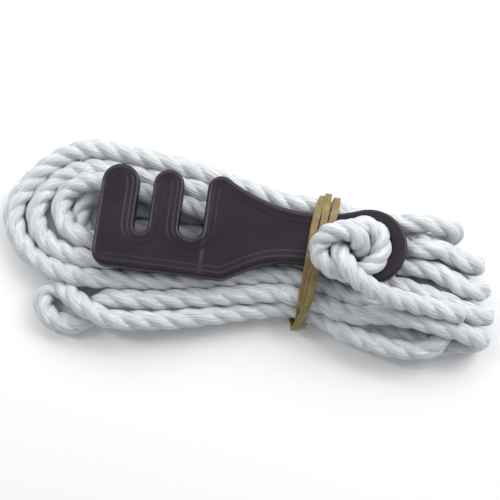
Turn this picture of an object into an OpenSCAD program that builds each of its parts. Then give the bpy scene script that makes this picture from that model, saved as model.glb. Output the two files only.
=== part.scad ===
/* [Handle] */
// Length of the handle, from the comb end to the far side of the eye
handle_len = 104; // [100:1:108]
// Height of the comb, from its straight back to the finger tips
comb_h = 35; // [34:0.5:36]
// Thickness of the handle through the neck and the eye
handle_t = 6.5; // [5:0.5:8]
// How far each face of the comb lies below the face of the neck
comb_step = 0.35; // [0.2:0.05:0.6]
// Width of the neck at its narrowest
neck_w = 17.4; // [16:0.2:18]

/* [Comb] */
// Width of the outer finger
finger1_w = 12.6; // [11:0.1:13]
// Width of the middle finger
finger2_w = 10.2; // [9:0.1:11]
// Width of the narrow slot, beside the outer finger
slot1_w = 4.8; // [4.2:0.1:5.4]
// Width of the wide slot, beside the shoulder
slot2_w = 8; // [7:0.1:8.6]
// Height of the comb's back, below the slots
back_h = 12.3; // [10:0.1:13]

/* [Eye] */
// Outer diameter of the eye
eye_d = 25; // [24:0.5:26]
// Diameter of the hole in the eye
eye_hole_d = 14; // [13:0.5:15]

/* [Rope] */
// Diameter of the rope
rope_d = 6.8; // [6.4:0.1:7]
// Depth of the hank, about two layers of rope
hank_t = 13; // [12.5:0.5:16]
// Gap between the hank and the underside of the handle
hank_gap = 0.3; // [0.2:0.1:0.5]

/* [Band] */
// Width of each of the rubber band's wraps
wrap_w = 2.3; // [2:0.1:2.6]
// Thickness of the band
band_t = 1; // [0.8:0.1:1.2]
// Gap between neighbouring wraps
wrap_gap = 0.5; // [0.4:0.1:0.6]

/* [Hidden] */
$fn = 64;
eps = 0.01;

// Frame: the origin is the middle of the handle's box, +X runs towards the eye,
// +Y is the way the fingers point, and +Z is the face that looks up.
end_x = -handle_len / 2;
tip_y = comb_h / 2;
slot_y = back_h - tip_y;
finger1_x = end_x + finger1_w;
slot1_end_x = finger1_x + slot1_w;
finger2_x = slot1_end_x + finger2_w;
shoulder_x = finger2_x + slot2_w;
eye_x = handle_len / 2 - eye_d / 2;
half_t = handle_t / 2;

// Shoulder and neck: three concave flanks of large radius
neck_half = neck_w / 2;
neck_x = 18;
upper_flank_r = 51;
lower_flank_r = 32;
lower_flank_x = 16;
lower_flank_angle = 30;
eye_flank_r = 45;
shoulder_tip_r = 4.5;
back_corner_r = 5;

upper_flank_y = neck_half + upper_flank_r;
lower_flank_y = -neck_half - lower_flank_r;
eye_flank_y = neck_half + eye_flank_r;
eye_flank_x = eye_x - sqrt(pow(eye_flank_r + eye_d / 2, 2) - pow(eye_flank_y, 2));
shoulder_tip_x = shoulder_x + shoulder_tip_r;
shoulder_tip_y = upper_flank_y
    - sqrt(pow(upper_flank_r + shoulder_tip_r, 2) - pow(neck_x - shoulder_tip_x, 2));
// Where the lower flank's arc turns into its straight, and where that meets the back
flank_start = [
    lower_flank_x - lower_flank_r * sin(lower_flank_angle),
    lower_flank_y + lower_flank_r * cos(lower_flank_angle)
];
flank_foot_x = flank_start.x - (flank_start.y + tip_y) / tan(lower_flank_angle);
// Where the upper flank leaves the shoulder's tip
flank_dir = [neck_x - shoulder_tip_x, upper_flank_y - shoulder_tip_y]
    / (upper_flank_r + shoulder_tip_r);
flank_top = [shoulder_tip_x, shoulder_tip_y] + shoulder_tip_r * flank_dir;
// Where the eye's flank reaches the eye
eye_touch_x = eye_x - eye_d / 2 * (eye_x - eye_flank_x) / (eye_flank_r + eye_d / 2);

// Hank: it lies flat under the handle
hank_top = -half_t - hank_gap;
hank_floor = hank_top - hank_t;
hank_loop = [-50, -5];
hank_loop_r = 33;
bight_pos = [-58, -31];
bight_r = 10;
// The hank's outline between its round ends
hank_edge = [
    [-50, 28], [-36, 25.8], [-20, 22], [0, 18.2], [18, 14], [40, 12], [56, 14.6],
    [66, 16.2], [78, -1], [84, -20], [66, -31], [53, -34], [38, -32], [20, -27],
    [0, -28], [-28, -35], [-50, -38]
];
// The round folds at the right-hand end of the hank
fold_tips = [[67.5, 12], [75.5, 0.5], [78.5, -9], [80.6, -17.5], [79.4, -24.5], [61, -29.5]];
fold_r = 4.5;
// The gap inside the hank's loops, wide at the left and closing to the right
gap_loop = [-46, 1];
gap_loop_r = 11;
gap_end = [-2, -5];
gap_end_r = 2;

// Knot: a ball on the neck, a ring round the eye's hole, and the strand down the hole
ball_pos = [26.5, -4.5, 10.6];
ball_r = 5.9;
ring_pos = [36.5, -2];
ring_r = 5.2;
eye_strand_pos = [37.5, -1];

rope_r = rope_d / 2;
// The free end's route, as points on its centre line
tail_route = [
    [34.6, -11.8, 11.6], [39.5, -14.6, 9.4], [45, -16.2, 7], [52, -17, 4.6],
    [59, -17.6, 3], [66, -18.2, 2], [72.6, -18.6, 1.6]
];
tube_sides = 8;

// Band: closed wraps round the neck and the hank
wrap_pitch = wrap_w + wrap_gap;
wrap_count = 3;
band_x = 22.5;
band_clear = 0.3;
// The band's inner outline, as [y, z] points
band_loop = [
    [-neck_half - 0.9, half_t + band_clear], [neck_half + 0.9, half_t + band_clear],
    [15.8, -3], [15.8, hank_floor + band_t], [-29.6, hank_floor + band_t], [-29.6, -3]
];

// A round pipe of the rope's diameter, swept along a route
function unit(v) = v / norm(v);
function heading(route, i) =
    unit(route[min(i + 1, len(route) - 1)] - route[max(i - 1, 0)]);
function side_of(t) = unit(cross(t, [0.2, 0.3, 1]));
function ring(route, i, r) =
    let(t = heading(route, i), u = side_of(t), v = cross(t, u))
    [for (k = [0 : tube_sides - 1])
        let(a = 360 * k / tube_sides)
        route[i] + r * (cos(a) * u + sin(a) * v)];

module tube(route, r) {
    rings = len(route);
    last = (rings - 1) * tube_sides;
    points = [for (i = [0 : rings - 1]) each ring(route, i, r)];
    sides = [for (i = [0 : rings - 2], k = [0 : tube_sides - 1])
        let(k2 = (k + 1) % tube_sides)
        [i * tube_sides + k, (i + 1) * tube_sides + k,
         (i + 1) * tube_sides + k2, i * tube_sides + k2]];
    start_cap = [for (k = [0 : tube_sides - 1]) k];
    end_cap = [for (k = [tube_sides - 1 : -1 : 0]) last + k];
    polyhedron(points, concat(sides, [start_cap, end_cap]));
}

// A bar with one full-round end, as each finger is
module finger_2d(x, w) {
    translate([x, -tip_y + back_corner_r])
        square([w, comb_h - back_corner_r - w / 2]);
    translate([x + w / 2, tip_y - w / 2])
        circle(d = w);
}

// The foot of a slot: a square corner block less a round
module slot_foot_2d(x, w) {
    translate([x, -tip_y + back_corner_r])
        difference() {
            square([w, slot_y + tip_y - back_corner_r + w / 2]);
            translate([w / 2, slot_y + tip_y - back_corner_r + w / 2])
                circle(d = w);
        }
}

module comb_2d() {
    finger_2d(end_x, finger1_w);
    finger_2d(slot1_end_x, finger2_w);
    slot_foot_2d(finger1_x, slot1_w);
    slot_foot_2d(finger2_x, slot2_w);
    translate([end_x + back_corner_r, -tip_y])
        square([shoulder_x - end_x - back_corner_r + eps, back_corner_r + eps]);
    translate([end_x + back_corner_r, -tip_y + back_corner_r])
        circle(r = back_corner_r);
}

module shoulder_2d() {
    difference() {
        polygon([
            [shoulder_x, -tip_y], [flank_foot_x, -tip_y], flank_start,
            [lower_flank_x, -neck_half], [neck_x, -neck_half], [eye_touch_x, -eye_d / 2],
            [eye_touch_x, eye_d / 2], [neck_x, flank_top.y], flank_top,
            [shoulder_tip_x, shoulder_tip_y], [shoulder_x, shoulder_tip_y]
        ]);
        translate([neck_x, upper_flank_y])
            circle(r = upper_flank_r, $fn = 180);
        translate([lower_flank_x, lower_flank_y])
            circle(r = lower_flank_r, $fn = 180);
        for (side = [-1, 1])
            translate([eye_flank_x, side * eye_flank_y])
                circle(r = eye_flank_r, $fn = 180);
    }
    translate([shoulder_tip_x, shoulder_tip_y])
        circle(r = shoulder_tip_r);
    translate([eye_x, 0])
        circle(d = eye_d);
}

// The whole handle is one moulding: the comb, the shoulder and neck, and the eye
module handle() {
    color([0.19, 0.15, 0.19])
    difference() {
        union() {
            translate([0, 0, -half_t + comb_step])
                linear_extrude(handle_t - 2 * comb_step)
                    comb_2d();
            translate([0, 0, -half_t])
                linear_extrude(handle_t)
                    shoulder_2d();
        }
        translate([eye_x, 0, -handle_t])
            cylinder(h = 2 * handle_t, d = eye_hole_d);
    }
}

// The gap inside the hank's loops, from below its floor to above its top
module hank_opening() {
    translate([0, 0, hank_floor - eps]) {
        gap_h = hank_t + 2 * eps;
        translate(gap_loop)
            cylinder(h = gap_h, r = gap_loop_r);
        translate(gap_end)
            cylinder(h = gap_h, r = gap_end_r);
        linear_extrude(gap_h)
            polygon([
                gap_loop + [0, gap_loop_r], gap_end + [0, gap_end_r],
                gap_end - [0, gap_end_r], gap_loop - [0, gap_loop_r]
            ]);
    }
}

// The groove under the hank that the band passes through
module band_room() {
    room_w = wrap_count * wrap_pitch + 2 * band_clear;
    room_h = band_t + band_clear;
    room_y = band_loop[4].x;
    translate([band_x - room_w / 2, room_y, hank_floor - eps])
        cube([room_w, band_loop[3].x - room_y, room_h]);
}

// The wound rope, as the closed solid of the hank's outer shape
module rope_hank() {
    color([0.86, 0.9, 0.93])
    difference() {
        translate([0, 0, hank_floor]) {
            linear_extrude(hank_t)
                polygon(hank_edge);
            translate(hank_loop)
                cylinder(h = hank_t, r = hank_loop_r);
            translate(bight_pos)
                cylinder(h = hank_t, r = bight_r);
            for (tip = fold_tips)
                translate(tip)
                    cylinder(h = hank_t, r = fold_r);
        }
        hank_opening();
        band_room();
    }
}

// The short free end that leaves the knot and lies on the hank
module rope_tail() {
    color([0.9, 0.93, 0.96])
        tube(tail_route, rope_r);
}

module rope_knot() {
    color([0.92, 0.94, 0.96]) {
        translate(ball_pos)
            sphere(r = ball_r);
        translate([ring_pos.x, ring_pos.y, half_t + rope_r])
            rotate_extrude()
                translate([ring_r, 0])
                    circle(r = rope_r);
        translate([eye_strand_pos.x, eye_strand_pos.y, -half_t])
            cylinder(h = handle_t + rope_r, r = rope_r);
    }
}

module rubber_band() {
    color([0.72, 0.62, 0.4])
    for (i = [0 : wrap_count - 1])
        translate([band_x + (i - (wrap_count - 1) / 2) * wrap_pitch - wrap_w / 2, 0, 0])
            rotate([90, 0, 90])
                linear_extrude(wrap_w)
                    difference() {
                        offset(r = band_t)
                            polygon(band_loop);
                        polygon(band_loop);
                    }
}

handle();
rope_knot();
rope_tail();
rope_hank();
rubber_band();
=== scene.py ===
"""The looks of a tow rope handle: a moulded comb, the rope knotted and wound under it, and a rubber band."""

import math

import bpy
import numpy as np
from mathutils import Matrix, Vector
from mathutils.geometry import delaunay_2d_cdt


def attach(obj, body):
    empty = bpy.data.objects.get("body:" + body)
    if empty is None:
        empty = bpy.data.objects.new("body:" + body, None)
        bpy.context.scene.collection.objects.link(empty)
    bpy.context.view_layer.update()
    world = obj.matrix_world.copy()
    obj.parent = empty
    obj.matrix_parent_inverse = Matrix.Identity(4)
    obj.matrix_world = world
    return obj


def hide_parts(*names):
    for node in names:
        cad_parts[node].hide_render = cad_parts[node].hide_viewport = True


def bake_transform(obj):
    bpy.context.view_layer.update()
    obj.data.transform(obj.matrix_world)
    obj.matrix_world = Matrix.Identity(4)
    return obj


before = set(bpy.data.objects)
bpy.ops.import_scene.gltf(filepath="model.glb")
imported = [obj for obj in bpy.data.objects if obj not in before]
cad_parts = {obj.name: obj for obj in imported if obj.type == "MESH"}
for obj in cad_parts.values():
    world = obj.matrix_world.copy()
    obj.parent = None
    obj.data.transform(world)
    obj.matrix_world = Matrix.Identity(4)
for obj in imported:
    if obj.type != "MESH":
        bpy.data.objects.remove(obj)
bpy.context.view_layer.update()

MM = 0.001
SEED = 7

# The camera: degrees, metres and millimetres of lens
CAMERA_AZIMUTH = 7.4
CAMERA_ELEVATION = 79.0
CAMERA_DISTANCE = 0.45
CAMERA_LENS = 95.39

# The handle, in millimetres: the same sizes as the CAD model's, but for FOOT_R, the rounding where the lower
# flank meets the comb's back, which the CAD model leaves as a corner
END_X = -52.0
TIP_Y = 17.5
HALF_T = 3.25
COMB_STEP = 0.35
FINGER1_X = -39.4
SLOT1_END_X = -34.6
FINGER2_X = -24.4
SHOULDER_X = -16.4
SLOT_Y = -5.2
NECK_HALF = 8.7
NECK_X = 18.0
UPPER_FLANK_R = 51.0
LOWER_FLANK_R = 32.0
LOWER_FLANK_X = 16.0
LOWER_FLANK_ANGLE = 30.0
EYE_FLANK_R = 45.0
SHOULDER_TIP_R = 4.5
BACK_CORNER_R = 5.0
FOOT_R = 4.6
EYE_X = 39.5
EYE_R = 12.5
EYE_HOLE_R = 7.0

# The handle's mesh, in millimetres
HOLE_SIDES = 96
GRID_STEP = 1.6
FINE_STEP = 0.5
GRID_ROW = 1.3
GRID_CLEAR = 0.55
SIDE_GAP = 0.4
SAME_POINT = 0.05

# The rope, in millimetres
ROPE_D = 6.8
ROPE_R = 3.48
PACKED = 6.3
STRAND_OUT = 1.18
STRAND_R = ROPE_R - STRAND_OUT
STRANDS = 3
LAY = 22.5
LOOP_LAY = 20.0
LOOP_SWELL = 0.07
KNOT_LAY = 16.0
RING = 0.9
ROUTE_STEP = 2.0
SPLINE_STEPS = 24
LOBE_SIDES = 12
YARN_SLANT = 0.72
HANK_FLOOR = -16.55
HANK_TOP = -3.45
FOLD_R = 4.4
FOLD_POINTS = 5
YARN_COLUMN = 40.0
# The left-hand loops start at this x, and are at their fullest a reach further out
LOOPS_X = -46.0
LOOPS_REACH = 12.0
# How much a strand swells along the rope, as waves: (share of its size, millimetres per radian)
SWELLS = ((0.022, 9.1), (0.016, 3.7), (0.012, 1.9))
# A cut end's rings: (scale, how far out, how rounded)
CUT_END = ((0.97, 0.1, 0.3), (0.88, 0.38, 0.6), (0.62, 0.58, 0.9), (0.30, 0.62, 1.0))
CUT_ROUND = 0.25
CUT_FADE = 0.08
ROUND_SHARE = 0.86

# The handle's cover over the hank: how far the neck's sides flare towards the shoulder and the eye
SHOULDER_FLARE = 9.0
SHOULDER_FLARE_LENGTH = 34.0
EYE_FLARE = 3.0
EYE_FLARE_LENGTH = 16.0
NECK_END_X = EYE_X - 3

# How the wound rope settles. Lengths are in millimetres, but NEIGHBOURS is in diameters along the rope and
# LATE is a share of the rounds
RELAX_ROUNDS = 160
NEIGHBOURS = 1.6
PAIR_ROUNDS = 4
PAIR_REACH = 1.5
LATE = 0.8
HOME_PULL = 0.04
LATE_HOME_PULL = 0.01
STIFFNESS = 0.5
PUSH_GAIN = 1.4
ROOF_SLACK = 0.1
LIFT_REACH = 7
STRETCH_ROUNDS = 3
STRETCH_GAIN = 0.25

# Where the strand through the eye is cut into pieces
EYE_STRAND_X = 37
EYE_STRAND_Y = -2
EYE_STRAND_REACH = 5
LEAD_TOP_Z = 1.0
LEAD_LOW_Z = -9.0

# The band, in millimetres
BAND_W = 2.4
BAND_T = 1.0
BAND_WRAPS = 3
BAND_X = 22.6
BAND_SLANT = 0.12
BAND_ROOM = 1.2
BAND_GAP = 0.05
WRAP_STEPS = 120
BAND_MIDDLE_Z = -6.0
NECK_ROUND = 1.2
HULL_SPOKES = 40
# A wrap's move across to the next one: where it starts and how much of the turn it takes
CROSS_FROM = 0.55
CROSS_SHARE = 0.17
WANDER = 0.16
WANDER_SHIFT = 2.1
# The wraps' pitch, at the front edge, how much it grows to the back, and on the floor
FRONT_PITCH = 1.4
BACK_PITCH = 1.05
FLOOR_PITCH = 2.6
PITCH_Y = 14.0
PITCH_REACH = 24.0
FLOOR_RISE = 3.5
FLOOR_REACH = 2.0
# How a wrap rides up on the one it overlaps, and how that fades near the floor
RIDE_REACH = 0.6
RIDE_RISE = 1.5
RIDE_FADE = 2.0
RIDE_ROUNDS = 6
BAND_CORNER = 0.28


def camera_axes():
    """Right, up and forward of the camera: it stands in front of the object and looks down at it."""
    azimuth = math.radians(CAMERA_AZIMUTH)
    elevation = math.radians(CAMERA_ELEVATION)
    level = Vector((-math.sin(azimuth), math.cos(azimuth), 0.0))
    forward = level * math.cos(elevation) - Vector((0, 0, 1)) * math.sin(elevation)
    right = Vector((math.cos(azimuth), math.sin(azimuth), 0.0))
    return right, right.cross(forward), forward


def make_camera():
    right, up, forward = camera_axes()
    aim = Vector((0.0005, -0.0045, -0.008)) - right * 0.00051 + up * 0.00014
    data = bpy.data.cameras.new("camera")
    data.sensor_width = 36.0
    data.lens = CAMERA_LENS
    data.clip_start = 0.01
    cam = bpy.data.objects.new("camera", data)
    turn = Matrix((right, up, -forward)).transposed().to_4x4()
    cam.matrix_world = Matrix.Translation(aim - forward * CAMERA_DISTANCE) @ turn
    bpy.context.collection.objects.link(cam)
    bpy.context.scene.camera = cam


# ---------------------------------------------------------------- rope route

STATION_X = (-44, -30, -16, 0, 22, 38)
# Each run of the hank, as (y, z) at the stations
RUNS = {
    "U1": [(22.2, -7.0), (20.2, -7.0), (17.8, -7.0), (14.5, -7.0), (9.2, -6.8), (9.2, -6.6)],
    "U2": [(16.8, -8.4), (14.8, -8.4), (12.2, -8.4), (9.2, -8.6), (4.8, -9.0), (5.8, -12.4)],
    "U3": [(11.8, -7.2), (10.2, -7.2), (8.0, -7.4), (4.4, -7.6), (1.2, -6.9), (3.0, -6.6)],
    "U4": [(11.6, -13.3), (12.0, -13.3), (12.0, -13.3), (11.6, -13.3), (10.6, -13.3), (9.2, -13.3)],
    "U5": [(7.2, -13.3), (6.2, -13.3), (6.2, -13.3), (5.6, -13.3), (4.6, -13.3), (-1.0, -13.3)],
    "W6": [(-1.8, -13.3), (0.2, -13.3), (0.4, -13.3), (-0.8, -13.3), (-4.6, -13.3), (-7.0, -13.3)],
    "W5": [(-8.6, -8.5), (-7.4, -8.6), (-6.8, -10.4), (-7.6, -12.4), (-10.4, -13.3), (-10.8, -13.3)],
    "W1": [(-13.8, -7.2), (-12.4, -7.0), (-10.2, -7.0), (-8.0, -7.0), (-5.2, -6.9), (-10.6, -7.2)],
    "W2": [(-20.2, -7.2), (-18.9, -7.0), (-16.5, -7.0), (-13.9, -7.0), (-11.0, -6.9), (-16.2, -6.9)],
    "W3": [(-26.8, -8.6), (-25.7, -7.4), (-23.0, -7.0), (-19.8, -7.0), (-16.9, -6.9), (-21.0, -6.2)],
    "W4": [(-33.9, -7.0), (-32.6, -7.8), (-29.7, -8.6), (-24.5, -9.6), (-21.4, -11.0), (-28.6, -8.6)],
    "W7": [(-17.0, -13.3), (-19.0, -13.3), (-19.6, -13.3), (-18.6, -13.3), (-16.4, -13.3), (-20.5, -13.3)],
}
# The flat turns, each with the run it leaves: the loops round the hank's left end, the bight below them, and
# one turn at the right
LOOPS = {
    "L1": ("U1", [
        (-55, 24.2, -8.0), (-66.6, 21.6, -10.6), (-77.0, 11.4, -12.6), (-82.4, 2.4, -13.0),
        (-81.0, -6.6, -12.6), (-74.6, -14.4, -11.4), (-63.4, -19.8, -8.6),
    ]),
    "L2": ("U2", [
        (-55, 17.2, -9.4), (-64.2, 14.8, -11.2), (-71.8, 9.6, -12.6), (-74.7, 2.2, -12.8),
        (-73.7, -4.4, -12.0), (-68.4, -10.5, -10.0), (-57.8, -14.4, -7.8),
    ]),
    "L3": ("U3", [
        (-55.0, 12.2, -8.0), (-62.4, 10.2, -9.6), (-66.3, 5.6, -10.2), (-65.1, -0.6, -9.8),
        (-60.9, -5.2, -9.2), (-54.6, -8.8, -8.6),
    ]),
    "L4": ("U4", [
        (-52.5, 12.4, -13.3), (-57.6, 8.8, -13.3), (-59.8, 1.8, -13.3), (-58.4, -6.0, -13.3),
        (-53.5, -12.8, -13.3),
    ]),
    "L5": ("U5", [
        (-47.3, 6.0, -13.3), (-48.9, 2.7, -13.3), (-47.3, -0.6, -13.3),
    ]),
    "bight": ("W4", [
        (-49.5, -32.4, -6.8), (-54.5, -29.8, -7.4), (-59.0, -26.9, -9.6), (-63.0, -24.9, -12.0),
        (-66.6, -26.6, -13.2), (-67.4, -30.6, -13.2), (-65.4, -34.6, -13.2), (-61.2, -36.2, -13.3),
        (-56.2, -36.4, -13.3), (-52.0, -34.6, -13.3), (-50.2, -30.8, -13.0), (-48.0, -27.6, -10.6),
    ]),
    "T6": ("W2", [
        (48, -15.8, -7.8), (56, -19.6, -9.4), (63, -21.6, -10.2), (67.4, -23.8, -10.6),
        (68.4, -26.4, -10.6), (65.6, -28.9, -10.4), (60.2, -30.4, -9.8), (52, -31.4, -8.6),
    ]),
}
# The upright folds at the hank's right end: the run they leave, the points before the tip, the tip, and the
# points after it. A tip is the furthest x, and the y of the upper and of the lower run there.
FOLDS = {
    "T1": (
        "U1",
        [(50, 9.8, -5.8), (58, 10.8, -4.6)],
        (68.4, 11.8, 8.4),
        [(50, 2.6, -12.8)],
    ),
    "T2": (
        "U2",
        [(52, 4.6, -5.6), (64, 3.4, -4.4)],
        (77.0, -0.2, 0.8),
        [(58, 5.4, -12.8)],
    ),
    "T3": (
        "U3",
        [(52, -2.0, -5.6), (66, -5.6, -4.2)],
        (79.1, -9.4, -7.2),
        [(66, -2.6, -12.6), (58, -1.4, -13.2)],
    ),
    "T4": (
        "W1",
        [(52, -11.0, -6.0), (68, -14.6, -4.2)],
        (81.4, -17.4, -15.6),
        [(66, -10.0, -12.6), (54, -6.6, -13.3)],
    ),
    "T5": (
        "W3",
        [(50, -21.2, -3.4), (60, -22.2, -2.2), (70, -23.8, -3.4)],
        (80.6, -24.4, -26.0),
        [(68, -27.2, -13.2), (54, -25.6, -13.3)],
    ),
}
ORDER = [
    "W6", "L5", "U5", "T1", "U1", "L1", "W2", "T6", "W4", "bight", "W3", "T5",
    "W7", "L4", "U4", "T2", "U2", "L2", "W1", "T4", "W5", "L3", "U3", "T3",
]
# The free end, the knot's two loops, and the strand down through the eye
KNOT = [
    (72.6, -18.6, 1.6), (66, -18.2, 2.0), (59, -17.6, 3.0), (52, -17.0, 4.6), (45, -16.2, 7.0),
    (39.5, -14.6, 9.4), (34.6, -11.8, 11.6), (31.4, -7.8, 11.2), (29.6, -4.4, 9.0), (28.6, -1.6, 7.4),
    (29.8, 1.6, 6.8), (32.8, 4.4, 6.6), (37.6, 5.6, 6.6), (41.8, 3.4, 6.7), (43.0, -1.2, 6.6),
    (41.8, -5.6, 6.6), (38.6, -8.6, 6.4), (34.4, -10.2, 5.8), (29.6, -10.4, 6.4), (25.6, -8.8, 7.8),
    (22.7, -5.4, 8.4), (23.2, -1.6, 10.0), (26.0, 0.8, 12.6), (29.4, 1.7, 13.4), (32.6, 1.6, 13.2),
    (35.0, 0.0, 11.8), (35.9, -1.6, 7.6), (36.6, -2.4, 2.0), (36.8, -2.9, -2.4), (35.8, -3.6, -6.6),
    (33.4, -4.4, -10.4), (29.0, -4.9, -12.7),
]
# Points of KNOT: where the free end meets the knot, and below which the rope is free to settle
TAIL_END = 7
EYE_STRAND = 29


def in_left_loops(x):
    """How far x is into the hank's left-hand loops, from 0 to 1."""
    return np.clip((LOOPS_X - x) / LOOPS_REACH, 0, 1)


def unit_rows(v):
    return v / np.linalg.norm(v, axis=1, keepdims=True)


def arc_lengths(c):
    return np.concatenate([[0.0], np.cumsum(np.linalg.norm(np.diff(c, axis=0), axis=1))])


def resample(c, step):
    """The same line with points step apart."""
    s = arc_lengths(c)
    at = np.linspace(0, s[-1], int(round(s[-1] / step)) + 1)
    return np.stack([np.interp(at, s, c[:, axis]) for axis in range(3)], 1)


def spline(points, step):
    """A smooth line through points: Catmull-Rom with centripetal knots."""
    p = np.array(points, float)
    t = np.concatenate([[0], np.cumsum(np.sqrt(np.linalg.norm(np.diff(p, axis=0), axis=1)))])[:, None]
    slope = np.zeros_like(p)
    before = (p[1:-1] - p[:-2]) / (t[1:-1] - t[:-2])
    across = (p[2:] - p[:-2]) / (t[2:] - t[:-2])
    after = (p[2:] - p[1:-1]) / (t[2:] - t[1:-1])
    slope[1:-1] = before - across + after
    slope[0] = (p[1] - p[0]) / (t[1] - t[0])
    slope[-1] = (p[-1] - p[-2]) / (t[-1] - t[-2])
    u = np.linspace(0, 1, SPLINE_STEPS, endpoint=False)[:, None]
    parts = []
    for i in range(len(p) - 1):
        h = t[i + 1] - t[i]
        parts.append(
            (2 * u**3 - 3 * u**2 + 1) * p[i]
            + (u**3 - 2 * u**2 + u) * h * slope[i]
            + (3 * u**2 - 2 * u**3) * p[i + 1]
            + (u**3 - u**2) * h * slope[i + 1]
        )
    parts.append(p[-1:])
    return resample(np.concatenate(parts), step)


def fold_tip(far_x, upper_y, lower_y):
    """Half a turn in a few points, from the upper layer down to the lower one."""
    middle_z = HANK_FLOOR + ROPE_R + FOLD_R
    last = FOLD_POINTS - 1
    points = []
    for step in range(FOLD_POINTS):
        angle = math.pi * (0.5 - step / last)
        x = far_x - FOLD_R + FOLD_R * math.cos(angle)
        y = upper_y + (lower_y - upper_y) * step / last
        points.append((x, y, middle_z + FOLD_R * math.sin(angle)))
    return points


def hank_route():
    """The hank's points in order: each run, then the loop or fold at its end."""
    ends = dict(LOOPS)
    for name, (first, before, tip, after) in FOLDS.items():
        ends[name] = (first, before + fold_tip(*tip) + after)
    route = []
    for i, name in enumerate(ORDER):
        if name in RUNS:
            run = [(x, y, z) for x, (y, z) in zip(STATION_X, RUNS[name])]
            if not route:
                run = run[::-1][1:]
            elif route[-1][0] > STATION_X[-1]:
                run = run[::-1]
            route += run
        else:
            first, points = ends[name]
            route += points if ORDER[i - 1] == first else points[::-1]
    return route


def under_handle(c):
    """True where a point is under the handle's outline, or within a quarter of the rope of it."""
    out = ROPE_D / 4
    x = c[:, 0]
    y = c[:, 1]
    comb = (x > END_X - out) & (x < SHOULDER_X) & (abs(y) < TIP_Y + out)
    to_shoulder = np.clip((NECK_X - x) / SHOULDER_FLARE_LENGTH, 0, 1)
    to_eye = np.clip((x - NECK_X) / EYE_FLARE_LENGTH, 0, 1)
    flare = np.where(x < NECK_X, SHOULDER_FLARE * to_shoulder**2, EYE_FLARE * to_eye)
    neck = (x >= SHOULDER_X) & (x < NECK_END_X) & (abs(y) < NECK_HALF + flare + out)
    eye = np.hypot(x - EYE_X, y) < EYE_R + out
    return comb | neck | eye


def near_pairs(c, reach, skip):
    """The pairs of points closer than reach that aren't neighbours along the rope."""
    square = (c * c).sum(1)
    gap = square[:, None] + square[None, :] - 2 * c @ c.T
    i, j = np.nonzero(gap < reach * reach)
    far = j - i > skip
    return i[far], j[far]


def relax(c, free):
    """Pushes the rope's stretches towards PACKED apart, a little under a diameter, as snug soft rope lies.
    The floor, the handle above and the rope's stiffness and length hold it back, so some stay closer."""
    home = c.copy()
    lengths = np.linalg.norm(np.diff(c, axis=0), axis=1, keepdims=True)
    skip = int(math.ceil(NEIGHBOURS * ROPE_D / lengths.mean()))
    free = free[:, None]
    low = HANK_FLOOR + ROPE_R
    high = HANK_TOP - ROPE_R + ROOF_SLACK
    for turn in range(RELAX_ROUNDS):
        if turn % PAIR_ROUNDS == 0:
            i, j = near_pairs(c, PACKED + PAIR_REACH, skip)
        move = (HOME_PULL if turn < LATE * RELAX_ROUNDS else LATE_HOME_PULL) * (home - c)
        bend = np.zeros_like(c)
        bend[2:-2] = (-c[:-4] + 4 * c[1:-3] - 6 * c[2:-2] + 4 * c[3:-1] - c[4:]) / 16
        move += STIFFNESS * bend
        gap = c[i] - c[j]
        dist = np.linalg.norm(gap, axis=1, keepdims=True) + 1e-9
        # Each of the two gives half the way
        push = 0.5 * np.maximum(PACKED - dist, 0) / dist * gap
        hit = (dist < PACKED).astype(float)
        total = np.zeros_like(c)
        count = np.zeros((len(c), 1))
        np.add.at(total, i, push)
        np.add.at(total, j, -push)
        np.add.at(count, i, hit)
        np.add.at(count, j, hit)
        move += PUSH_GAIN * total / np.maximum(count, 1)
        c = c + move * free
        # The floor is higher by the band's room within one reach of it, and not at all past two
        lifted = low + BAND_ROOM * np.clip(2 - abs(c[:, :1] - BAND_X) / LIFT_REACH, 0, 1)
        lifted += LOOP_SWELL * ROPE_R * in_left_loops(c[:, :1])
        c[:, 2:] = np.where(free, np.maximum(c[:, 2:], lifted), c[:, 2:])
        roofed = under_handle(c)[:, None] & free
        c[:, 2:] = np.where(roofed, np.minimum(c[:, 2:], high), c[:, 2:])
        for _ in range(STRETCH_ROUNDS):
            step = c[1:] - c[:-1]
            length = np.linalg.norm(step, axis=1, keepdims=True)
            pull = STRETCH_GAIN * (length - lengths) / length * step
            move = np.zeros_like(c)
            move[:-1] += pull
            move[1:] -= pull
            c = c + move * free
    return c


def nearest(c, point):
    return int(np.argmin(np.linalg.norm(c - np.array(point, float), axis=1)))


def rope_line():
    """The whole rope's centre line, from the free end through the knot to the end hidden in the hank."""
    c = spline(KNOT + hank_route(), ROUTE_STEP)
    free = np.arange(len(c)) > nearest(c, KNOT[EYE_STRAND])
    return spline(relax(c, free), RING)


# ---------------------------------------------------------------- meshes


def link_mesh(name, verts, faces, smooth=True):
    mesh = bpy.data.meshes.new(name)
    mesh.from_pydata([tuple(v) for v in verts], [], [tuple(f) for f in faces])
    mesh.polygons.foreach_set("use_smooth", [smooth] * len(mesh.polygons))
    mesh.update()
    obj = bpy.data.objects.new(name, mesh)
    bpy.context.collection.objects.link(obj)
    return obj


def carried_frames(c):
    """Tangent and two cross directions at each point, carried along without twist."""
    tangent = np.zeros_like(c)
    tangent[1:-1] = c[2:] - c[:-2]
    tangent[0] = c[1] - c[0]
    tangent[-1] = c[-1] - c[-2]
    tangent = unit_rows(tangent)
    side = np.zeros_like(c)
    first = np.cross(tangent[0], (0.3, 0.2, 1.0))
    side[0] = first / np.linalg.norm(first)
    for i in range(1, len(c)):
        kept = side[i - 1] - tangent[i] * (side[i - 1] @ tangent[i])
        side[i] = kept / np.linalg.norm(kept)
    return tangent, side, np.cross(tangent, side)


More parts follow.
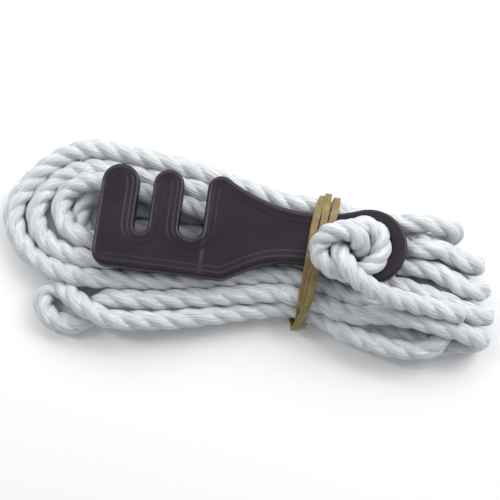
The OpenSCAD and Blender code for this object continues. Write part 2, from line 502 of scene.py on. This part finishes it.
def lobe_angles():
    """The angles round one strand that show, from groove to groove."""
    half = math.pi / STRANDS
    reach = STRAND_OUT * math.cos(half) + math.sqrt(STRAND_R**2 - (STRAND_OUT * math.sin(half)) ** 2)
    groove = math.atan2(reach * math.sin(half), reach * math.cos(half) - STRAND_OUT)
    return np.linspace(-groove, groove, LOBE_SIDES + 1)


class Rope:
    """The rope's whole line, its turning frames, and the rings of its three strands."""

    def __init__(self):
        self.line = rope_line()
        self.s = arc_lengths(self.line)
        self.in_loops = in_left_loops(self.line[:, 0])
        self.turn = self.twist()
        self.tangent, self.side, self.up = carried_frames(self.line)
        self.rng = np.random.default_rng(SEED)
        self.phases = self.rng.uniform(0, 2 * math.pi, (STRANDS, 3))

    def twist(self):
        """How far the strands have turned at each ring. Their lay is shorter in the knot and left loops."""
        in_knot = np.clip(self.line[:, 2] / 6, 0, 1)
        lay = LAY + (LOOP_LAY - LAY) * self.in_loops + (KNOT_LAY - LAY) * in_knot
        return np.concatenate([[0], np.cumsum(2 * math.pi * RING / lay[1:])])

    def swell(self, strand, s):
        """How much fuller or thinner a strand is here, since hand-wound rope is never even."""
        size = 1
        for (share, wave), phase in zip(SWELLS, self.phases[strand]):
            size = size + share * np.sin(s / wave + phase)
        return size

    def ring(self, i, scale=1.0, round_off=0.0, ahead=0.0):
        """One ring of points, and how far round its strand each lies."""
        s = self.s[i]
        wobble = 0.05 * math.sin(s / 13.0) + 0.04 * math.sin(s / 5.3 + 1.0)
        angles = lobe_angles()[:-1]
        points = []
        for strand in range(STRANDS):
            turn = self.turn[i] + 2 * math.pi * strand / STRANDS + wobble
            r = STRAND_R * self.swell(strand, s)
            x = STRAND_OUT + r * np.cos(angles)
            y = r * np.sin(angles)
            radius = np.hypot(x, y) * (1 - round_off) + ROPE_R * ROUND_SHARE * round_off
            angle = np.arctan2(y, x) + turn
            points.append(np.stack([radius * np.cos(angle), radius * np.sin(angle)], 1))
        flat = np.concatenate(points) * scale * (1 + LOOP_SWELL * self.in_loops[i])
        centre = self.line[i] + self.tangent[i] * ahead
        return centre + flat[:, :1] * self.side[i] + flat[:, 1:] * self.up[i]

    def piece(self, name, first, last, start_cap=False, end_cap=False):
        """The rope's mesh from one ring to another, with a melted end where it is cut."""
        rings = []
        marks = []
        if start_cap:
            for scale, out, blunt in reversed(CUT_END):
                rings.append(self.ring(first, scale, blunt, -out))
                marks.append(self.s[first] - out)
        for i in range(first, last + 1):
            near_start = max(0.0, CUT_ROUND - CUT_FADE * (i - first)) if start_cap else 0.0
            near_end = max(0.0, CUT_ROUND - CUT_FADE * (last - i)) if end_cap else 0.0
            rings.append(self.ring(i, 1.0, near_start + near_end))
            marks.append(self.s[i])
        if end_cap:
            for scale, out, blunt in CUT_END:
                rings.append(self.ring(last, scale, blunt, out))
                marks.append(self.s[last] + out)
        around = STRANDS * LOBE_SIDES
        verts = np.concatenate(rings) * MM
        row = np.arange(around)
        quad = np.stack([row, (row + 1) % around, (row + 1) % around + around, row + around], 1)
        faces = (quad[None] + (np.arange(len(rings) - 1) * around)[:, None, None]).reshape(-1, 4).tolist()
        if start_cap:
            faces.append(list(range(around - 1, -1, -1)))
        if end_cap:
            base = (len(rings) - 1) * around
            faces.append([base + k for k in range(around)])
        obj = link_mesh(name, verts, faces)
        self.lay_out_yarns(obj, np.array(marks))
        return obj

    def lay_out_yarns(self, obj, marks):
        """A UV map in millimetres: u runs across the yarns, v along the rope."""
        around = STRANDS * LOBE_SIDES
        angles = lobe_angles() * STRAND_R
        k = np.arange(around)
        strand = k // LOBE_SIDES
        step = k % LOBE_SIDES
        near = angles[step] + YARN_COLUMN * strand
        far = angles[step + 1] + YARN_COLUMN * strand
        a = marks[:-1, None]
        b = marks[1:, None]
        slant_a = YARN_SLANT * a
        slant_b = YARN_SLANT * b
        u = np.stack([near + slant_a, far + slant_a, far + slant_b, near + slant_b], 2)
        v = np.broadcast_to(np.stack([a, a, b, b], 2), u.shape)
        uv = np.stack([u, v], 3).reshape(-1, 2)
        layer = obj.data.uv_layers.new(name="yarns")
        flat = np.zeros(len(obj.data.loops) * 2)
        flat[: uv.size] = uv.ravel()
        layer.data.foreach_set("uv", flat)


def arc(centre, radius, start, end, step=0.55):
    """Points and outward normals of an arc in degrees. A clockwise arc is hollow, so they point inwards."""
    count = max(4, int(abs(math.radians(end - start)) * radius / step))
    angle = np.radians(np.linspace(start, end, count + 1))
    outward = np.stack([np.cos(angle), np.sin(angle)], 1)
    sign = 1.0 if end > start else -1.0
    return np.array(centre) + radius * outward, sign * outward


def line(a, b, step=0.8):
    """Points and outward normals of a straight side, its two end points left out."""
    a, b = np.array(a, float), np.array(b, float)
    length = np.linalg.norm(b - a)
    count = max(1, int(length / step))
    t = np.linspace(0, 1, count + 1)[1:-1, None]
    along = (b - a) / length
    normal = np.array([along[1], -along[0]])
    return a + t * (b - a), np.broadcast_to(normal, (len(t), 2))


def direction(a, b):
    return math.degrees(math.atan2(b[1] - a[1], b[0] - a[0]))


def handle_outline():
    """The handle's edge, anticlockwise from the comb's back corner, as points and outward normals."""
    upper_c = (NECK_X, NECK_HALF + UPPER_FLANK_R)
    lower_c = (LOWER_FLANK_X, -NECK_HALF - LOWER_FLANK_R)
    eye_c = (EYE_X, 0.0)
    flank_y = NECK_HALF + EYE_FLANK_R
    flank_x = EYE_X - math.sqrt((EYE_FLANK_R + EYE_R) ** 2 - flank_y**2)
    tip_x = SHOULDER_X + SHOULDER_TIP_R
    tip_y = upper_c[1] - math.sqrt((UPPER_FLANK_R + SHOULDER_TIP_R) ** 2 - (NECK_X - tip_x) ** 2)
    slope = math.radians(LOWER_FLANK_ANGLE)
    start = (lower_c[0] - LOWER_FLANK_R * math.sin(slope), lower_c[1] + LOWER_FLANK_R * math.cos(slope))
    foot_x = start[0] - (start[1] + TIP_Y) / math.tan(slope)
    foot_c = (foot_x - FOOT_R * math.tan(slope / 2), -TIP_Y + FOOT_R)
    below = direction((flank_x, -flank_y), eye_c)
    above = direction((flank_x, flank_y), eye_c)
    arcs = [
        ((END_X + BACK_CORNER_R, -TIP_Y + BACK_CORNER_R), BACK_CORNER_R, 180, 270),
        (foot_c, FOOT_R, 270, 300),
        (lower_c, LOWER_FLANK_R, 90 + LOWER_FLANK_ANGLE, 90),
        ((flank_x, -flank_y), EYE_FLANK_R, 90, below),
        (eye_c, EYE_R, below - 180, above + 180),
        ((flank_x, flank_y), EYE_FLANK_R, above + 360, 270),
        (upper_c, UPPER_FLANK_R, 270, direction(upper_c, (tip_x, tip_y)) + 360),
        ((tip_x, tip_y), SHOULDER_TIP_R, direction((tip_x, tip_y), upper_c), 180),
        slot_arc(FINGER2_X, SHOULDER_X),
        finger_arc(SLOT1_END_X, FINGER2_X),
        slot_arc(FINGER1_X, SLOT1_END_X),
        finger_arc(END_X, FINGER1_X),
    ]
    points = []
    normals = []
    curves = [arc(*a) for a in arcs]
    for i, (p, n) in enumerate(curves):
        points.append(p)
        normals.append(n)
        following = curves[(i + 1) % len(curves)][0][0]
        if np.linalg.norm(following - p[-1]) > SIDE_GAP:
            p2, n2 = line(p[-1], following)
            points.append(p2)
            normals.append(n2)
    points = np.concatenate(points)
    normals = np.concatenate(normals)
    apart = np.linalg.norm(points - np.roll(points, 1, 0), axis=1) > SAME_POINT
    return points[apart], normals[apart]


def slot_arc(left, right):
    """The round foot of a slot."""
    r = (right - left) / 2
    return (left + r, SLOT_Y + r), r, 360, 180


def finger_arc(left, right):
    """The full-round tip of a finger."""
    r = (right - left) / 2
    return (left + r, TIP_Y - r), r, 0, 180


# The moulding's edge, from its parting line to the flat of its face: (inset, height)
EDGE = [
    (-0.04, 0.0), (0.0, 0.12), (0.0, 1.15), (0.0, 2.1), (0.05, 2.45), (0.2, 2.78), (0.48, 3.03), (0.9, 3.16),
    (1.4, 3.2), (1.8, 3.19), (2.0, 3.155), (2.2, 3.10), (2.4, 3.07), (2.8, 3.06), (3.5, 3.05), (3.75, 3.03),
    (3.95, 2.985), (4.15, 2.94), (4.4, 2.93),
]
HOLE_EDGE = [
    (-0.03, 0.0), (0.0, 0.12), (0.0, 1.9), (0.06, 2.4), (0.22, 2.75), (0.5, 3.0), (0.9, 3.13), (1.4, 3.175),
]


def smooth_steps(t):
    t = np.clip(t, 0, 1)
    return t * t * (3 - 2 * t)


def face_height(x, z, inset=9.0):
    """The height of a point of the face. The comb lies a little lower than the neck, past a smooth step, and
    the steps inside the rim fade out towards the eye."""
    low = 1 - COMB_STEP / HALF_T
    rim_z = math.copysign(3.2, z)
    sunk = (rim_z - z) if inset > 1.5 else 0.0
    fade = 0.95 * smooth_steps((x - 12) / 14)
    return (z + sunk * fade) * (low + (1 - low) * smooth_steps((x + 16.6) / 2.2))


def edge_rings(points, normals, profile):
    """Rings of vertices from the lower face's edge to the upper one's, over the side."""
    rows = [(inset, -z) for inset, z in profile[:0:-1]] + list(profile)
    # The edge's rounding is narrower on the eye, where there is less flat
    narrow = 1 - 0.4 * smooth_steps((points[:, :1] - 22) / 9)
    rings = []
    for inset, z in rows:
        p = points - normals * inset * narrow
        rings.append(np.column_stack([p, face_height(p[:, 0], z, inset)]))
    return rings


def inside(points, loop):
    """True for the points inside a closed loop."""
    x, y = points[:, 0][:, None], points[:, 1][:, None]
    x1, y1 = loop[:, 0][None], loop[:, 1][None]
    x2, y2 = np.roll(loop[:, 0], -1)[None], np.roll(loop[:, 1], -1)[None]
    crosses = (y1 > y) != (y2 > y)
    with np.errstate(divide="ignore", invalid="ignore"):
        at = x1 + (y - y1) / (y2 - y1) * (x2 - x1)
    return (crosses & (x < at)).sum(1) % 2 == 1


def face_fill(outer, hole):
    """Triangles between the face's edge and the eye's, over a grid of points close together at the step."""
    back = np.arange(-50, -18, GRID_STEP)
    at_step = np.arange(-18, -12, FINE_STEP)
    front = np.arange(-12, 51, GRID_STEP)
    xs = np.concatenate([back, at_step, front])
    grid = np.array([(x, y) for x in xs for y in np.arange(-16.8, 17, GRID_ROW)])
    ok = inside(grid, outer) & ~inside(grid, hole)
    gap = np.linalg.norm(grid[:, None] - np.concatenate([outer, hole])[None], axis=2).min(1)
    grid = grid[ok & (gap > GRID_CLEAR)]
    points = np.concatenate([outer, hole, grid])
    n, m = len(outer), len(hole)
    edges = [(i, (i + 1) % n) for i in range(n)] + [(n + i, n + (i + 1) % m) for i in range(m)]
    out = delaunay_2d_cdt([Vector(p) for p in points], edges, [], 0, 1e-6)
    source = np.array([ids[0] for ids in out[3]])
    triangles = source[np.array(out[2])]
    middle = points[triangles].mean(1)
    keep = inside(middle, outer) & ~inside(middle, hole)
    return grid, triangles[keep]


def make_handle():
    outline, normals = handle_outline()
    angle = np.linspace(0, 2 * math.pi, HOLE_SIDES, endpoint=False)
    spoke = np.stack([np.cos(angle), np.sin(angle)], 1)
    hole = np.array([EYE_X, 0.0]) + EYE_HOLE_R * spoke
    verts = []
    faces = []
    loops = []
    for points, outward, profile in ((outline, normals, EDGE), (hole, -spoke, HOLE_EDGE)):
        rings = edge_rings(points, outward, profile)
        base = sum(len(v) for v in verts)
        count = len(points)
        verts += rings
        for r in range(len(rings) - 1):
            for k in range(count):
                a = base + r * count + k
                b = base + r * count + (k + 1) % count
                quad = [a, b, b + count, a + count]
                faces.append(quad if points is outline else quad[::-1])
        loops.append((base, base + (len(rings) - 1) * count, count, rings[-1][:, :2]))
    (low_a, high_a, n, outer), (low_b, high_b, m, inner) = loops
    grid, triangles = face_fill(outer, inner)
    for side, first_a, first_b in ((-1, low_a, low_b), (1, high_a, high_b)):
        base = sum(len(v) for v in verts)
        flat = EDGE[-1][1] * side
        verts.append(np.column_stack([grid, face_height(grid[:, 0], flat)]))
        index = np.concatenate([first_a + np.arange(n), first_b + np.arange(m), base + np.arange(len(grid))])
        filled = index[triangles]
        faces += (filled if side > 0 else filled[:, ::-1]).tolist()
    return link_mesh("handle_moulding", np.concatenate(verts) * MM, faces)


# ---------------------------------------------------------------- band


def hull(points):
    """The convex hull of points in a plane, anticlockwise."""
    ordered = sorted(map(tuple, points))
    halves = []
    for sequence in (ordered, ordered[::-1]):
        half = []
        for p in sequence:
            while len(half) > 1 and cross2(half[-2], half[-1], p) <= 0:
                half.pop()
            half.append(p)
        halves += half[:-1]
    return np.array(halves)


def cross2(a, b, c):
    return (b[0] - a[0]) * (c[1] - a[1]) - (b[1] - a[1]) * (c[0] - a[0])


def section_hull(rope, x, out):
    """What a band at x hugs: the neck's top and the hank's strands there, grown by out."""
    c = rope.line
    held = c[:, 2] < HANK_TOP
    crossing = np.nonzero(((c[:-1, 0] - x) * (c[1:, 0] - x) <= 0) & held[:-1])[0]
    angle = np.linspace(0, 2 * math.pi, HULL_SPOKES, endpoint=False)
    spoke = np.stack([np.cos(angle), np.sin(angle)], 1)
    points = [c[i, 1:] + (ROPE_R + out) * spoke for i in crossing]
    for side in (-1, 1):
        corner = np.array([side * (NECK_HALF - NECK_ROUND), HALF_T - NECK_ROUND])
        points.append(corner + (NECK_ROUND + out) * spoke)
    return hull(np.concatenate(points))


def band_loop(rope):
    """The closed loop each wrap follows, as (y, z) from its lowest point, and the length along it."""
    loop = section_hull(rope, BAND_X, BAND_T / 2 + BAND_GAP)
    start = int(np.argmin(loop[:, 1] + 0.02 * abs(loop[:, 0])))
    loop = np.roll(loop, -start, axis=0)
    loop = np.concatenate([loop, loop[:1]])
    return loop, arc_lengths(loop)


def band_line(rope):
    """The band's closed centre line: its wraps lie apart at the back and overlap towards the front edge."""
    loop, lengths = band_loop(rope)
    points = []
    for step in range(BAND_WRAPS * WRAP_STEPS):
        turn, part = divmod(step, WRAP_STEPS)
        share = part / WRAP_STEPS
        # On its way back under the hank a wrap moves across to where the next one starts
        crossing = smooth_steps((share - CROSS_FROM) / CROSS_SHARE)
        across = 1 if turn < BAND_WRAPS - 1 else 1 - BAND_WRAPS
        wander = WANDER * math.sin(4 * math.pi * share + WANDER_SHIFT * turn) * (1 - crossing)
        place = turn - 1 + wander + across * crossing
        y = np.interp(share * lengths[-1], lengths, loop[:, 0])
        z = np.interp(share * lengths[-1], lengths, loop[:, 1])
        points.append((BAND_X + BAND_SLANT * y + wrap_pitch(y, z) * place, y, z))
    return np.array(points)


def wrap_pitch(y, z):
    """How far apart the wraps lie: closest at the front edge, a full width apart on the floor."""
    above = FRONT_PITCH + BACK_PITCH * smooth_steps((y + PITCH_Y) / PITCH_REACH)
    below = FLOOR_PITCH * smooth_steps((HANK_FLOOR + FLOOR_RISE - z) / FLOOR_REACH)
    return max(above, below)


def make_band(rope):
    c = band_line(rope)
    count = len(c)
    tangent = unit_rows(np.roll(c, -1, 0) - np.roll(c, 1, 0))
    middle = np.array([BAND_X, 0.0, BAND_MIDDLE_Z])
    out = c - middle
    out[:, 0] = 0
    out = out - tangent * (out * tangent).sum(1)[:, None]
    out = unit_rows(out)
    side = np.cross(tangent, out)
    lift = overlap_lift(c)
    c = c + out * lift[:, None]
    section = band_section()
    rings = [c + side * p[0] + out * p[1] for p in section]
    verts = np.stack(rings, 1).reshape(-1, 3) * MM
    around = len(section)
    faces = []
    for i in range(count):
        for k in range(around):
            beside = (k + 1) % around
            here = i * around
            ahead = ((i + 1) % count) * around
            faces.append([here + k, ahead + k, ahead + beside, here + beside])
    return link_mesh("band_wraps", verts, faces)


def overlap_lift(c):
    """Where two wraps lie closer than a band's width, the later one rides up on the other."""
    lift = np.zeros(len(c))
    per_wrap = len(c) // BAND_WRAPS
    turn = np.arange(len(c)) // per_wrap
    for i in range(len(c)):
        same = np.arange(i % per_wrap, len(c), per_wrap)
        gaps = [abs(c[i, 0] - c[j, 0]) for j in same if turn[j] < turn[i]]
        if gaps and min(gaps) < BAND_W:
            closeness = smooth_steps((BAND_W - min(gaps)) / RIDE_REACH)
            lift[i] = (BAND_T + BAND_GAP) * closeness * turn[i]
    lift *= smooth_steps((c[:, 2] - HANK_FLOOR - RIDE_RISE) / RIDE_FADE)
    for _ in range(RIDE_ROUNDS):
        lift = (np.roll(lift, 1) + 2 * lift + np.roll(lift, -1)) / 4
    return lift


def band_section():
    """The band's cross-section, a flat strip with soft corners."""
    w = BAND_W / 2
    t = BAND_T / 2
    r = BAND_CORNER
    corners = ((w - r, t - r, 0), (-w + r, t - r, 90), (-w + r, -t + r, 180), (w - r, -t + r, 270))
    points = []
    for cx, cy, start in corners:
        for step in range(4):
            a = math.radians(start + 30 * step)
            points.append((cx + r * math.cos(a), cy + r * math.sin(a)))
    return points


# ---------------------------------------------------------------- materials


def new_material(name):
    mat = bpy.data.materials.new(name)
    mat.use_nodes = True
    nodes = mat.node_tree.nodes
    shader = nodes["Principled BSDF"]
    return mat, nodes, mat.node_tree.links, shader


def noise(nodes, links, vector, scale, detail=3.0, rough=0.5):
    node = nodes.new("ShaderNodeTexNoise")
    node.inputs["Scale"].default_value = scale
    node.inputs["Detail"].default_value = detail
    node.inputs["Roughness"].default_value = rough
    links.new(vector, node.inputs["Vector"])
    return node.outputs["Fac"]


def mapping(nodes, links, vector, scale):
    node = nodes.new("ShaderNodeMapping")
    node.inputs["Scale"].default_value = scale
    links.new(vector, node.inputs["Vector"])
    return node.outputs["Vector"]


def ramp(nodes, links, value, stops):
    node = nodes.new("ShaderNodeValToRGB")
    elements = node.color_ramp.elements
    while len(elements) < len(stops):
        elements.new(0.5)
    for element, (at, colour) in zip(elements, stops):
        element.position = at
        element.color = (*colour, 1.0)
    links.new(value, node.inputs["Fac"])
    return node.outputs["Color"]


def bump(nodes, links, height, strength, distance, under=None):
    node = nodes.new("ShaderNodeBump")
    node.inputs["Strength"].default_value = strength
    node.inputs["Distance"].default_value = distance
    links.new(height, node.inputs["Height"])
    if under is not None:
        links.new(under, node.inputs["Normal"])
    return node.outputs["Normal"]


def to_range(nodes, links, value, low, high):
    node = nodes.new("ShaderNodeMapRange")
    node.inputs["To Min"].default_value = low
    node.inputs["To Max"].default_value = high
    links.new(value, node.inputs["Value"])
    return node.outputs["Result"]


def rope_material():
    """White multifilament line: fine yarns along each strand, slightly clear, with grubby lengths."""
    mat, nodes, links, shader = new_material("rope_white")
    uv = nodes.new("ShaderNodeUVMap")
    uv.uv_map = "yarns"
    yarns = noise(nodes, links, mapping(nodes, links, uv.outputs["UV"], (2.2, 0.16, 1)), 1.0, 2.0, 0.55)
    fibres = noise(nodes, links, mapping(nodes, links, uv.outputs["UV"], (9.0, 0.35, 1)), 1.0, 2.0, 0.6)
    patches = noise(nodes, links, mapping(nodes, links, uv.outputs["UV"], (0.12, 0.12, 1)), 1.0, 2.0, 0.5)
    colour = ramp(nodes, links, yarns, [
        (0.28, (0.46, 0.475, 0.48)), (0.5, (0.64, 0.655, 0.67)), (0.72, (0.80, 0.815, 0.84)),
    ])
    tint = ramp(nodes, links, patches, [(0.3, (0.90, 0.93, 0.93)), (0.7, (1.0, 1.0, 1.0))])
    mix = nodes.new("ShaderNodeMix")
    mix.data_type = "RGBA"
    mix.blend_type = "MULTIPLY"
    mix.inputs["Factor"].default_value = 1.0
    links.new(colour, mix.inputs["A"])
    links.new(tint, mix.inputs["B"])
    links.new(mix.outputs["Result"], shader.inputs["Base Color"])
    links.new(to_range(nodes, links, fibres, 0.22, 0.46), shader.inputs["Roughness"])
    coarse = bump(nodes, links, yarns, 0.8, 0.0007)
    links.new(bump(nodes, links, fibres, 0.35, 0.00018, coarse), shader.inputs["Normal"])
    shader.inputs["Subsurface Weight"].default_value = 0.35
    shader.inputs["Subsurface Radius"].default_value = (0.9, 1.0, 1.0)
    shader.inputs["Subsurface Scale"].default_value = 0.0018
    shader.inputs["Sheen Weight"].default_value = 0.15
    shader.inputs["Specular IOR Level"].default_value = 0.6
    return mat


def plastic_material():
    """Black moulded plastic with a plum cast: satin, with rub marks and fine scratches."""
    mat, nodes, links, shader = new_material("handle_black")
    place = nodes.new("ShaderNodeTexCoord").outputs["Object"]
    rubs = noise(nodes, links, mapping(nodes, links, place, (60, 90, 60)), 1.0, 3.0, 0.6)
    grain = noise(nodes, links, place, 2600.0, 2.0, 0.5)
    scratches = noise(nodes, links, mapping(nodes, links, place, (90, 2400, 400)), 1.0, 1.0, 0.4)
    colour = ramp(nodes, links, rubs, [(0.3, (0.0125, 0.0062, 0.0125)), (0.7, (0.018, 0.0100, 0.0175))])
    links.new(colour, shader.inputs["Base Color"])
    links.new(to_range(nodes, links, rubs, 0.27, 0.40), shader.inputs["Roughness"])
    fine = bump(nodes, links, grain, 0.12, 0.00004)
    links.new(bump(nodes, links, scratches, 0.06, 0.00005, fine), shader.inputs["Normal"])
    shader.inputs["Specular IOR Level"].default_value = 0.36
    return mat


def rubber_material():
    """Natural rubber, ochre to olive, dusty and slightly clear."""
    mat, nodes, links, shader = new_material("band_tan")
    place = nodes.new("ShaderNodeTexCoord").outputs["Object"]
    cloud = noise(nodes, links, place, 260.0, 4.0, 0.6)
    dust = noise(nodes, links, place, 1900.0, 3.0, 0.6)
    colour = ramp(nodes, links, cloud, [
        (0.25, (0.155, 0.086, 0.027)), (0.5, (0.212, 0.157, 0.055)), (0.8, (0.30, 0.245, 0.112)),
    ])
    links.new(colour, shader.inputs["Base Color"])
    links.new(to_range(nodes, links, dust, 0.38, 0.62), shader.inputs["Roughness"])
    links.new(bump(nodes, links, dust, 0.3, 0.00008), shader.inputs["Normal"])
    shader.inputs["Subsurface Weight"].default_value = 0.15
    shader.inputs["Subsurface Radius"].default_value = (1.0, 0.7, 0.3)
    shader.inputs["Subsurface Scale"].default_value = 0.001
    return mat


def floor_material():
    mat, _, _, shader = new_material("floor_pale")
    shader.inputs["Base Color"].default_value = (0.86, 0.86, 0.86, 1)
    shader.inputs["Roughness"].default_value = 0.7
    return mat


# ---------------------------------------------------------------- stage


def make_floor():
    size = 3.0
    z = HANK_FLOOR * MM - 0.0001
    corners = [(-size, -size, z), (size, -size, z), (size, size, z), (-size, size, z)]
    floor = link_mesh("floor", corners, [(0, 1, 2, 3)], smooth=False)
    floor.data.materials.append(floor_material())


def area_light(name, place, aim, size, power, glint=1.0):
    data = bpy.data.lights.new(name, "AREA")
    data.shape = "RECTANGLE"
    data.size, data.size_y = size
    data.energy = power
    data.specular_factor = glint
    light = bpy.data.objects.new(name, data)
    turn = (Vector(aim) - Vector(place)).to_track_quat("-Z", "Y")
    light.matrix_world = Matrix.Translation(Vector(place)) @ turn.to_matrix().to_4x4()
    bpy.context.collection.objects.link(light)


def make_lights():
    area_light("key_back", (0.04, 0.235, 0.23), (0.01, 0.01, 0), (0.8, 0.2), 1.2, 0.5)
    area_light("key_left", (-0.46, 0.10, 0.50), (0, 0, 0), (0.10, 0.40), 1.3)
    area_light("fill_right", (0.34, 0.22, 0.42), (0.04, 0, 0), (0.3, 0.3), 1.4)
    world = bpy.data.worlds.new("studio")
    world.use_nodes = True
    world.node_tree.nodes["Background"].inputs["Color"].default_value = (0.95, 0.97, 1.0, 1)
    world.node_tree.nodes["Background"].inputs["Strength"].default_value = 0.46
    bpy.context.scene.world = world
    bpy.context.scene.view_settings.view_transform = "Standard"


# ---------------------------------------------------------------- build


def make_rope(material):
    rope = Rope()
    c = rope.line
    tail_last = nearest(c, KNOT[TAIL_END])
    beside_eye = np.hypot(c[:, 0] - EYE_STRAND_X, c[:, 1] - EYE_STRAND_Y) < EYE_STRAND_REACH
    down = np.nonzero((c[:, 2] < LEAD_TOP_Z) & beside_eye)[0]
    lead_first = int(down[0])
    lead_last = int(down[c[down, 2] < LEAD_LOW_Z][0])
    last = len(c) - 1
    tail = rope.piece("rope_free_end", 0, tail_last, start_cap=True)
    loops = rope.piece("rope_loops", tail_last, lead_first)
    lead = rope.piece("rope_lead_in", lead_first, lead_last)
    wound = rope.piece("rope_wound", lead_last, last, end_cap=True)
    for obj in (tail, loops, lead, wound):
        obj.data.materials.append(material)
    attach(loops, "handle")
    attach(wound, "hank")
    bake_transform(lead)
    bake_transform(tail)
    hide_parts("rope_hank")
    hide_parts("rope_knot")
    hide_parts("rope_tail")
    return rope


def main():
    make_camera()
    rope = make_rope(rope_material())
    handle = make_handle()
    handle.data.materials.append(plastic_material())
    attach(handle, "handle")
    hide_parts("handle")
    band = make_band(rope)
    band.data.materials.append(rubber_material())
    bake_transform(band)
    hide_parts("rubber_band")
    make_floor()
    make_lights()


main()
